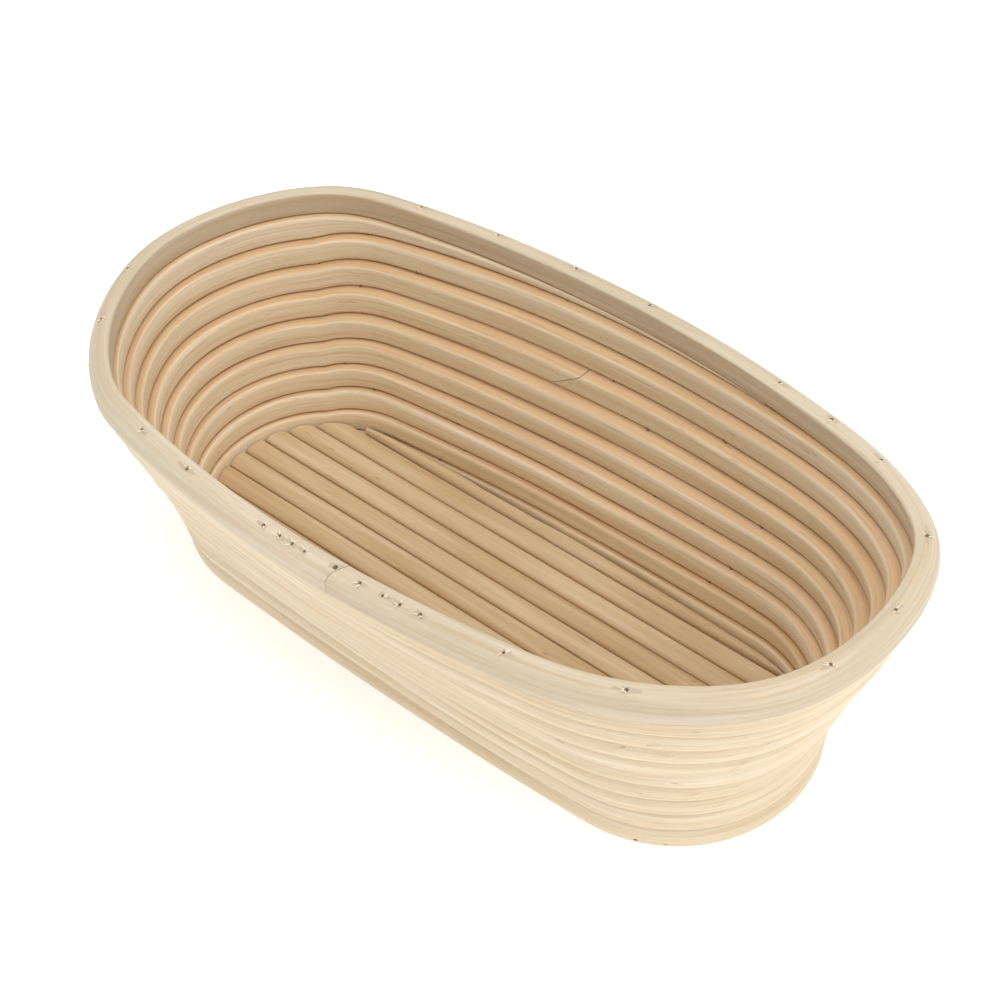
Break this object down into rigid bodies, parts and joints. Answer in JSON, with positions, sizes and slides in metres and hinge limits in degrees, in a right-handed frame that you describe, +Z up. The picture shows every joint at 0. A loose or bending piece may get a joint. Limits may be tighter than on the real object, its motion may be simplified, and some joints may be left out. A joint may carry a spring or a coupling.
{
  "type": "banneton basket",
  "caption": "Long oval proofing basket wound from half-round rattan cane, with flared ridged walls, a thick rim cane and a floor of straight parallel canes.",
  "frame": {"origin": "on the resting plane, under the middle of the rim", "axes": "+X along the basket's length towards the end that flares more, +Y towards the side where the winding starts, +Z up"},
  "size_m": [0.28, 0.14, 0.08],
  "materials": {
    "rim_rattan": "smooth pale peeled rattan with fine lengthwise grain",
    "wall_rattan": "peeled rattan with fine lengthwise grain, warmer in the grooves",
    "floor_rattan": "peeled rattan, slightly darker and warmer than the wall",
    "pin_wood": "dark wooden pin ends"
  },
  "bodies": {
    "root": {"rim_cane": "rim_rattan", "wall_cane_lower": "wall_rattan", "wall_cane_upper": "wall_rattan", "floor_cane_1": "floor_rattan", "floor_cane_2": "floor_rattan", "floor_cane_3": "floor_rattan", "floor_cane_4": "floor_rattan", "floor_cane_5": "floor_rattan", "floor_cane_6": "floor_rattan", "floor_cane_7": "floor_rattan", "floor_cane_8": "floor_rattan", "floor_cane_9": "floor_rattan", "floor_wedge_cane": "floor_rattan", "rim_pin_1": "pin_wood", "rim_pin_2": "pin_wood", "rim_pin_3": "pin_wood", "rim_pin_4": "pin_wood", "rim_pin_5": "pin_wood", "rim_pin_6": "pin_wood", "rim_pin_7": "pin_wood", "rim_pin_8": "pin_wood", "rim_pin_9": "pin_wood", "rim_pin_10": "pin_wood", "rim_pin_11": "pin_wood", "rim_pin_12": "pin_wood", "rim_pin_13": "pin_wood", "rim_pin_14": "pin_wood", "rim_pin_15": "pin_wood", "rim_pin_16": "pin_wood", "rim_pin_17": "pin_wood", "rim_pin_18": "pin_wood", "rim_pin_19": "pin_wood", "rim_pin_20": "pin_wood", "rim_pin_21": "pin_wood", "rim_pin_22": "pin_wood", "rim_pin_23": "pin_wood", "rim_pin_24": "pin_wood", "base_pin_1": "pin_wood", "base_pin_2": "pin_wood", "base_pin_3": "pin_wood", "base_pin_4": "pin_wood", "base_pin_5": "pin_wood", "base_pin_6": "pin_wood", "base_pin_7": "pin_wood", "base_pin_8": "pin_wood", "cross_pin_1": "pin_wood", "cross_pin_2": "pin_wood", "cross_pin_3": "pin_wood"}
  },
  "joints": []
}
